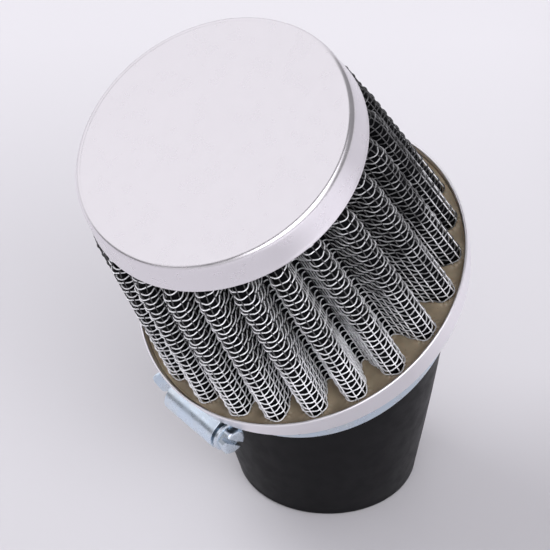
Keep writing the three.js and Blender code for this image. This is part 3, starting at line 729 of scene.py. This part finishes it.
def base_resin():
    """Cast resin: level between the pleats, with a small rise where it wets them and the pan."""
    step = flange_foot + SPIGOT_SHEET + SEAT
    wall = pan_wall(-RESIN_BELOW_RIM) - PAN_SHEET - 0.12
    pleat_rise, pleat_reach, wall_rise, wall_reach, edge_high = 0.75, 0.45, 0.5, 0.3, 0.4
    plain_r, pleats_r, corner_level = 30.5, 30.8, -5.8
    k, seg, f = cloth_grid(8, 8, 6)
    cloth, _ = pack_at(k, seg, f, np.full(k.shape, pack_foot), 0.0)
    steps, at_once, far_off = 720, 400, 9.0
    t = circle(steps)

    def ring(r, z):
        """A ring square to the slanted axis."""
        return np.concatenate([polar(r, t), np.broadcast_to(z, steps)[:, None]], 1)

    waves = rng.uniform(0, ANY_PHASE, 6)
    top = []
    for r in np.concatenate([np.linspace(spigot_in + edge_high, plain_r, 8),
                             np.linspace(pleats_r, wall - 0.25, 34)]):
        here, d = polar(r, t), np.full(steps, far_off)
        for a in range(0, len(cloth), at_once):
            gap = np.linalg.norm(here[:, None] - cloth[None, a:a + at_once, :2], axis=2)
            d = np.minimum(d, gap.min(1))
        rise = pleat_rise * np.exp(-d / pleat_reach) + wall_rise * np.exp(-(wall - r) / wall_reach)
        lump = (0.06 * np.sin(5 * t + waves[0]) + 0.05 * np.sin(11 * t + waves[1] + r)
                + 0.03 * np.sin(23 * t + waves[2] - r))
        top.append(ring(r, -RESIN_BELOW_RIM + rise + lump))
    rings = [ring(spigot_in, step), ring(spigot_in, -RESIN_BELOW_RIM - edge_high)] + top
    rings.append(ring(wall, -RESIN_BELOW_RIM + edge_high))
    rings.append(ring(pan_wall(corner_level) - PAN_SHEET - SEAT, corner_level))
    rings.append(ring(PAN_FOOT_R - PAN_CORNER_R, flange_foot))
    rings += [ring(SPIGOT_FLANGE_R + SEAT, z) for z in (flange_foot, step)]
    piece("resin_ring", wrapped(rings), HEAD, "head", RESIN, "base_resin")


# Rubber neck


def rubber_neck():
    """Neck: a straight round foot lofted into the slanted collar, and the duct inside it."""
    t = circle(ROUND_STEPS)
    to_foot = np.linalg.inv(FOOT) @ HEAD

    def upright(z, r):
        """A ring of the foot, at a level above the ground."""
        return np.concatenate([polar(r, t), np.full((ROUND_STEPS, 1), z)], 1)

    def tilted(z, r, shift=COLLAR_SHIFT):
        """A ring square to the slanted axis, at a level from the pan's rim."""
        local = np.concatenate([polar(r, t) - (shift, 0), np.full((ROUND_STEPS, 1), z)], 1) * MM
        return (local @ to_foot[:3, :3].T + to_foot[:3, 3]) / MM

    def loft(low, high, bulge, n):
        """Rings from one to another, swelling outwards by bulge halfway."""
        outward = low * (1, 1, 0) / np.linalg.norm(low[:, :2], axis=1, keepdims=True)
        return [low + (high - low) * u + outward * bulge * math.sin(math.pi * u)
                for u in np.linspace(0, 1, n + 1)]

    bore_edge, lip, step_edge, below_band, below_inset = 0.5, 0.3, 0.2, 0.8, 0.35
    edge_r, edge_z = collar_r - COLLAR_EDGE_R, collar_top - COLLAR_EDGE_R
    band_foot = band_middle - BAND_WIDTH / 2
    foot_edge = arc(foot_r - FOOT_EDGE_R, FOOT_EDGE_R, FOOT_EDGE_R, -90, 0, 8)[:-1]
    rings = [upright(z, r) for r, z in foot_edge]
    tuck = tilted(ledge, collar_r - COLLAR_TUCK)
    rings += loft(upright(FOOT_EDGE_R, foot_r), tuck, NECK_BULGE, 24)
    rings.append(tilted(band_foot - below_band, collar_r - below_inset))
    rings += [tilted(band_foot, collar_r), tilted(band_middle + 2, collar_r)]
    rings += [tilted(z, r) for r, z in arc(edge_r, edge_z, COLLAR_EDGE_R, 0, 90, 8)]
    rings += [tilted(collar_top, socket_r + lip, 0), tilted(collar_top - lip, socket_r, 0)]
    rings += [tilted(ledge + lip, socket_r, 0), tilted(ledge, socket_r - step_edge, 0)]
    rings.append(tilted(ledge, spigot_in + lip, 0))
    mouth = tilted(ledge - step_edge, spigot_in, 0)
    rings += loft(upright(BORE_LENGTH, BORE_R), mouth, 0, 12)[::-1]
    rings += [upright(4, BORE_R), upright(bore_edge, BORE_R), upright(0.0, BORE_R + bore_edge)]
    piece("neck_moulding", wrapped(rings), FOOT, "neck", RUBBER, "rubber_neck",
          sharp=CRISP)


# Hose clamp


def strip(line, normal, thick, slots, corner=0.0):
    """A strip of sheet along a line in X and Y, with eased edges and pressed slots.
    slots(s, w) gives the pressed depth at the distance s along and w across. The far end's
    corners are rounded to the radius corner."""
    s = np.concatenate([[0], np.cumsum(np.linalg.norm(np.diff(line, axis=0), axis=1))])
    half, ease = BAND_WIDTH / 2, 0.16
    lip = ease * (1 - np.cos(np.linspace(0, np.pi / 2, 4)[:-1]))
    middle = np.linspace(-half + ease, half - ease, 52)
    across = np.concatenate([-half + lip, middle, (half - lip)[::-1]])
    rings = []
    for at, out, along, left in zip(line, normal, s, s[-1] - s):
        short = 0.0
        if left < corner:
            short = corner - math.sqrt(max(corner**2 - (corner - left) ** 2, 0))
        w = across * (half - short) / half
        edge = np.clip(np.abs(w) - (half - short - ease), 0, ease)
        drop = ease - np.sqrt(np.maximum(ease**2 - edge**2, 0))
        up = at + out * (thick - drop - slots(along, w))[:, None]
        down = at + out * drop[:, None]
        rings.append(np.concatenate([np.column_stack([up, w]), np.column_stack([down, w])[::-1]]))
    return wrapped(rings, joined=False)


def slot_depth(along, across):
    """Pressed slots across a band, slanted like a worm's thread, with soft edges."""
    length, wide, slope, depth, soft = 4.6, 0.75, 0.10, 0.38, 0.14
    turns = (along + slope * across) / THREAD_PITCH
    off = np.abs(turns - np.round(turns)) * THREAD_PITCH
    inside = np.clip((wide / 2 - off) / soft + 0.5, 0, 1)
    inside = inside * np.clip((length / 2 - np.abs(across)) / soft + 0.5, 0, 1)
    return depth * inside * inside * (3 - 2 * inside)


def clamp_band():
    """The band's loop, slotted next to the housing."""
    start = math.asin(BAND_END_OFFSET / band_outer)
    slotted, plain = math.radians(14), 1.5
    a = np.concatenate([np.linspace(start, start + slotted, 70),
                        np.linspace(start + slotted, 2 * np.pi - start, 200)[1:]])
    normal = polar(1.0, a)
    run = slotted * band_outer
    bm = strip(normal * band_inner, normal, BAND_SHEET,
               lambda s, w: slot_depth(s, w) * (plain < s < run - plain))
    piece("band_loop", bm, CLAMP, "clamp", ZINC, "clamp_band", sharp=CRISP)


def clamp_tail():
    """The band's free end: straight under the screw, then curled away from the neck."""
    outer, plain_start, plain_end = TAIL_CURL_R + TAIL_SHEET, 1.2, 4.2
    curl = np.radians(180 + np.linspace(0, TAIL_CURL, 40)[1:])
    straight = np.linspace(TAIL_FRONT, TAIL_CURL_START, 100)
    curled = polar(outer, curl) + (tail_top + TAIL_CURL_R, TAIL_CURL_START)
    ahead = polar(1.0, curl[-1] + math.pi / 2)
    lip = curled[-1] + ahead * np.linspace(0, TAIL_LIP, 14)[1:, None]
    line = np.concatenate([np.stack([straight * 0 + tail_bottom, straight], 1), curled, lip])
    facing = np.concatenate([np.full(len(straight), np.pi), curl, np.full(len(lip), curl[-1])])
    total = np.linalg.norm(np.diff(line, axis=0), axis=1).sum()
    bm = strip(line, -polar(1.0, facing), TAIL_SHEET,
               lambda s, w: slot_depth(s, w) * (plain_start < s < total - plain_end), corner=1.6)
    piece("free_end", bm, CLAMP, "tail", ZINC, "clamp_tail", sharp=CRISP)


def wall_rim(turns, r, to_shelf):
    """An end wall's rim: round above the screw, and square below it down to the shelf."""
    x, z = np.cos(turns), np.sin(turns)
    square = np.minimum(to_shelf / np.maximum(-x, 1e-6), r / np.maximum(np.abs(z), 1e-6))
    return polar(np.where(x < -1e-9, square, r), turns)


def clamp_housing():
    """Rolled housing over the screw, with a round arch, folded feet and two end walls."""
    tunnel = THREAD_R + SEAT
    arch = tunnel + HOUSING_SHEET
    wall_in = BAND_WIDTH / 2 + SEAT
    wall_out = wall_in + HOUSING_SHEET
    foot = band_outer - SADDLE_SHEET
    shelf_in = tail_top + SEAT
    shelf_out = shelf_in + HOUSING_SHEET
    shoulder, inset, into_arch, hole_play = 0.5, 0.05, 0.3, 0.2
    outline = [(foot, -wall_out)]
    outline += arc(shelf_out - shoulder, -wall_out + shoulder, shoulder, -90, 0, 5)
    outline += arc(screw_r, 0, arch, -90, 90, 40)
    outline += arc(shelf_out - shoulder, wall_out - shoulder, shoulder, 0, 90, 5)
    outline += [(foot, wall_out), (foot, wall_in), (shelf_in, wall_in)]
    outline += arc(screw_r, 0, tunnel, 90, -90, 32) + [(shelf_in, -wall_in), (foot, -wall_in)]
    piece("housing_shell", drawn(outline, HOUSING_BACK, HOUSING_FRONT), CLAMP, "clamp", ZINC,
          "clamp_housing", sharp=CRISP, eased=0.14)
    turns = circle(48)
    rim = wall_rim(turns, tunnel + into_arch, screw_r - shelf_in)
    hole = polar(JOURNAL_R + hole_play, turns)
    for name, y0, y1 in (
            ("housing_wall_back", HOUSING_BACK + inset, HOUSING_BACK + HOUSING_SHEET),
            ("housing_wall_front", HOUSING_FRONT - HOUSING_SHEET, HOUSING_FRONT - inset)):
        bm = bmesh.new()
        edges = []
        for outline in (rim, hole):
            points = [bm.verts.new((screw_r + x, y0, z)) for x, z in outline]
            edges += [bm.edges.new(pair) for pair in zip(points, points[1:] + points[:1])]
        faces = bmesh.ops.bridge_loops(bm, edges=edges)["faces"]
        out = bmesh.ops.extrude_face_region(bm, geom=faces)
        bmesh.ops.translate(bm, verts=moved(out), vec=(0, y1 - y0, 0))
        piece(name, bm, CLAMP, "clamp", ZINC, "clamp_housing", sharp=CRISP,
              eased=0.06)


def worm_screw():
    """Worm screw: a real left-handed thread, a washer face and a slotted hexagon head."""
    front = HOUSING_FRONT - HOUSING_SHEET - SEAT
    back = HOUSING_BACK + HOUSING_SHEET + SEAT
    tip = HOUSING_BACK - TIP_LENGTH
    washer = HOUSING_FRONT + FLANGE_OFFSET
    washer_end = washer + FLANGE_THICK
    t = circle(40)

    def ring(y, r, t=t):
        """A ring round the screw's axis."""
        return np.column_stack([screw_r + r * np.cos(t), np.full(len(t), y), r * np.sin(t)])

    def thread(y):
        """The radii round one place of the thread, which fades out at both ends."""
        ridge_half, slope, fade = 0.62, 0.4, 0.8
        turns = (y - back) / THREAD_PITCH + t / (2 * np.pi)
        near = np.abs(turns - np.round(turns)) * THREAD_PITCH
        taper = np.clip(min(y - back, front - y) / fade, 0, 1)
        ridge = np.clip((ridge_half - near) / slope, 0, 1)
        return THREAD_ROOT_R + (THREAD_R - THREAD_ROOT_R) * ridge * taper

    rings = [ring(tip, 0.9), ring(tip + 0.15, JOURNAL_R - 0.25)]
    rings += [ring(tip + 0.4, JOURNAL_R), ring(back, JOURNAL_R)]
    rings += [ring(y, thread(y)) for y in np.linspace(back, front, 140)]
    rings += [ring(front, JOURNAL_R), ring(washer, JOURNAL_R), ring(washer, FLANGE_R - 0.25)]
    rings += [ring(washer + 0.2, FLANGE_R), ring(washer_end - 0.3, FLANGE_R)]
    rings += [ring(washer_end - 0.05, FLANGE_R - 0.35), ring(washer_end, FLANGE_R - 0.6)]
    piece("screw_shank", wrapped(rings, joined=False), CLAMP, "screw", SCREW_ZINC, "worm_screw",
          sharp=CRISP)

    # Head: a hexagon with its corners turned off, and the driver's slot cut across it. Each pair
    # is a ring's distance below the end and how much is turned off its corners.
    head_end = washer_end + HEX_LENGTH
    around = circle(96)
    flat_r = HEX_ACROSS / 2 / np.cos((around + np.pi / 6) % (np.pi / 3) - np.pi / 6)
    corner = HEX_ACROSS / math.sqrt(3)
    quarter = math.pi / 2 - math.radians(HEAD_TURN)
    rings = []
    for below, cut in ((HEX_LENGTH + 0.4, 0.2), (0.7, 0.12), (0.45, 0.2), (0.22, 0.42),
                       (0.06, 0.72), (0, 1.0)):
        r = np.minimum(flat_r, corner - cut)
        rings.append(ring(head_end - below, r, quarter - around))
    bm = wrapped(rings, joined=False)
    head = piece("screw_head", bm, CLAMP, "screw", SCREW_ZINC, "worm_screw")
    bm = bmesh.new()
    size = Matrix.Diagonal((SLOT_WIDTH, 2 * SLOT_DEPTH, 2 * HEX_ACROSS, 1.0))
    turned = Matrix.Rotation(math.radians(HEAD_TURN), 4, "Y")
    where = Matrix.Translation((screw_r, head_end, 0)) @ turned
    bmesh.ops.create_cube(bm, size=1.0, matrix=in_metres(CLAMP) @ where @ size)
    tool = linked("driver_slot", meshed("driver_slot", bm))
    slot = head.modifiers.new("slot", "BOOLEAN")
    slot.operation, slot.object, slot.solver = "DIFFERENCE", tool, "EXACT"
    bevelled(head, "bevel", 0.08, 2, 50)
    head.data = solid_copy(head)
    head.modifiers.clear()
    bpy.data.objects.remove(tool)
    bm = bmesh.new()
    bm.from_mesh(head.data)
    smooth_by_angle(bm, 30)
    bm.to_mesh(head.data)
    bm.free()


end_cap()
base_pan()
spigot()
base_resin()
filter_cloth()
wire_cloth("wire_outer", "outer_wire_cloth", depth=0.22, steps_per_warp=5, sides=5, crimp=0.17,
           finish=WIRE)
wire_cloth("wire_inner", "inner_wire_cloth", depth=1.85, steps_per_warp=2, sides=4, crimp=0.15,
           finish=WIRE_IN)
rubber_neck()
clamp_band()
clamp_tail()
clamp_housing()
worm_screw()

# Nodes that are hidden inside, or whose shape is right as it is
for node, finish in (("cap_resin", RESIN), ("seam_clip", WIRE_IN), ("clamp_saddle", ZINC)):
    mesh = frame["nodes"][node].data
    mesh.materials.clear()
    mesh.materials.append(finish)

# Floor, light, camera


def floor():
    """Pale floor with painted light falloff: brighter on the left and further away. A painted bright
    patch lies close by beyond the right side of the view, where the pan's wall and the cap's skirt mirror it."""
    m = Finish("floor_pale", (0.86, 0.845, 0.885), 0.9, Specular_IOR_Level=0.1)
    x, y = m.split("Object")[:2]
    along, across = 0.74, 0.67
    away = m.math("ADD", m.math("MULTIPLY", x, along), m.math("MULTIPLY", y, across))
    side = m.math("SUBTRACT", m.math("MULTIPLY", x, across), m.math("MULTIPLY", y, along))
    # Painted light falloff: the colour darkens towards the camera, and near the camera it is darker still on the
    # right.
    far = m.ramp(away, 0.0, 1.0, -0.02, 0.22)
    near = m.math("SUBTRACT", 1.0, far)
    painted_side_falloff = m.math("MULTIPLY", m.ramp(side, 0.05, -0.02, 0.04, 0.09), near)
    level = m.math("ADD", m.ramp(far, 0.62, 0.81, 0.0, 1.0), painted_side_falloff)
    # Painted bright patch: the floor is lighter close by beyond the right side, as if light fell there, so the
    # pan's wall and the cap's skirt mirror it.
    painted_patch = m.ramp(away, PAINTED_PATCH_FAR, PAINTED_PATCH_NEAR, 0.14, -0.06)
    level = m.math("MULTIPLY_ADD", m.ramp(side, 0.0, 1.0, 0.07, 0.2), painted_patch, level)
    m.color(m.ramp(level, (0.42, 0.413, 0.433), (0.77, 0.757, 0.793), 0.5, 0.9))
    bm = bmesh.new()
    bmesh.ops.create_grid(bm, x_segments=1, y_segments=1, size=FLOOR_HALF)
    me = meshed("floor", bm)
    me.materials.append(m.mat)
    ob = linked("floor", me)
    ob.location.z = -FLOOR_BELOW


def softbox(name, at, size_x, size_y, watts, towards=(0, 0, 0.06)):
    """A wide soft lamp that metal doesn't mirror."""
    data = bpy.data.lights.new(name, "AREA")
    data.shape, data.size, data.size_y, data.energy = "RECTANGLE", size_x, size_y, watts
    ob = linked(name, data)
    ob.location = at
    away = Vector(at) - Vector(towards)
    ob.rotation_euler = away.to_track_quat("Z", "Y").to_euler()
    ob.visible_glossy = False


def studio():
    """The room as the metal shows it, by direction: a bright wall and ceiling panel behind, a
    bright panel in front on the left, a dim side on the right, a dim strip overhead and a dim
    far corner on the left, which draw the dark lines round the cap's edge. Low down the room is
    pale grey all round."""
    world = bpy.data.worlds.new("studio")
    bpy.context.scene.world = world
    world.use_nodes = True
    tree = world.node_tree
    x, y, z = range(3)
    split = tree.nodes.new("ShaderNodeSeparateXYZ")
    tree.links.new(tree.nodes.new("ShaderNodeTexCoord").outputs["Generated"], split.inputs[0])

    def step(axis, a, b):
        """0 up to a and 1 from b on, along one axis, or the other way round where b is less."""
        n = tree.nodes.new("ShaderNodeMapRange")
        n.interpolation_type = "SMOOTHSTEP"
        low, high = (0, 1) if a < b else (1, 0)
        for socket, v in (("From Min", min(a, b)), ("From Max", max(a, b)),
                          ("To Min", low), ("To Max", high)):
            n.inputs[socket].default_value = v
        tree.links.new(split.outputs[axis], n.inputs["Value"])
        return n.outputs[0]

    def mix(fac, a, b):
        """The brightness a where fac is 0 and b where it is 1."""
        n = tree.nodes.new("ShaderNodeMix")
        for socket, v in ((n.inputs[0], fac), (n.inputs[2], a), (n.inputs[3], b)):
            if isinstance(v, bpy.types.NodeSocket):
                tree.links.new(v, socket)
            else:
                socket.default_value = v
        return n.outputs[0]

    overhead = mix(step(z, 0.25, 0.4), LOW_MIDDLE, DIM)
    panel = mix(step(x, 0.0, -0.12), BESIDE, FRONT)
    box = mix(step(x, -0.85, -0.7), LOW_FRONT, mix(step(z, 0.2, 0.4), LOW_FRONT, panel))
    left = mix(step(y, -0.12, -0.24), overhead, box)
    front = mix(step(x, 0.24, 0.08), mix(step(z, 0.1, 0.25), LOW_SIDE, SIDE), left)
    corner = mix(step(z, 0.35, 0.5), DIM, BACK)
    behind = mix(step(x, -0.5, -0.62), mix(step(z, 0.1, 0.6), LOW_BACK, BACK), corner)
    level = mix(step(y, 0.24, 0.34), front, behind)
    back = tree.nodes["Background"]
    back.inputs[0].default_value = (0.975, 0.96, 1.0, 1)
    tree.links.new(level, back.inputs[1])


FLOOR_HALF, FLOOR_BELOW, PAINTED_PATCH_NEAR, PAINTED_PATCH_FAR = 6.0, 0.0002, 0.4, -0.06
DIM, SIDE, FRONT, BESIDE, BACK = 0.25, 0.3, 2.7, 1.15, 1.03
LOW_MIDDLE, LOW_FRONT, LOW_SIDE, LOW_BACK = 0.75, 0.6, 0.8, 0.78
floor()
softbox("softbox_back", at=(-0.35, 0.95, 1.35), size_x=0.9, size_y=0.7, watts=10.0)
softbox("softbox_front", at=(-0.26, -0.91, 0.45), size_x=0.9, size_y=0.7, watts=4.5)
studio()

# The camera looks down on the filter from where the photograph was taken, without a roll.
camera_data = bpy.data.cameras.new("camera")
camera_data.lens, camera_data.sensor_width, camera_data.sensor_fit = 144.0, 36.0, "HORIZONTAL"
camera_data.clip_start, camera_data.clip_end = 0.01, 50
camera = linked("camera", camera_data)
camera_at = (-0.2975, -0.2710, 0.3612)
right, up = np.array([(0.6726, -0.7400, 0.0), (0.4370, 0.3972, 0.8070)])
look = np.array((0.5971, 0.5428, -0.5906))
camera.matrix_world = Matrix(place(camera_at, right, up, -look).tolist())
bpy.context.scene.camera = camera
bpy.context.scene.view_settings.view_transform = "Standard"
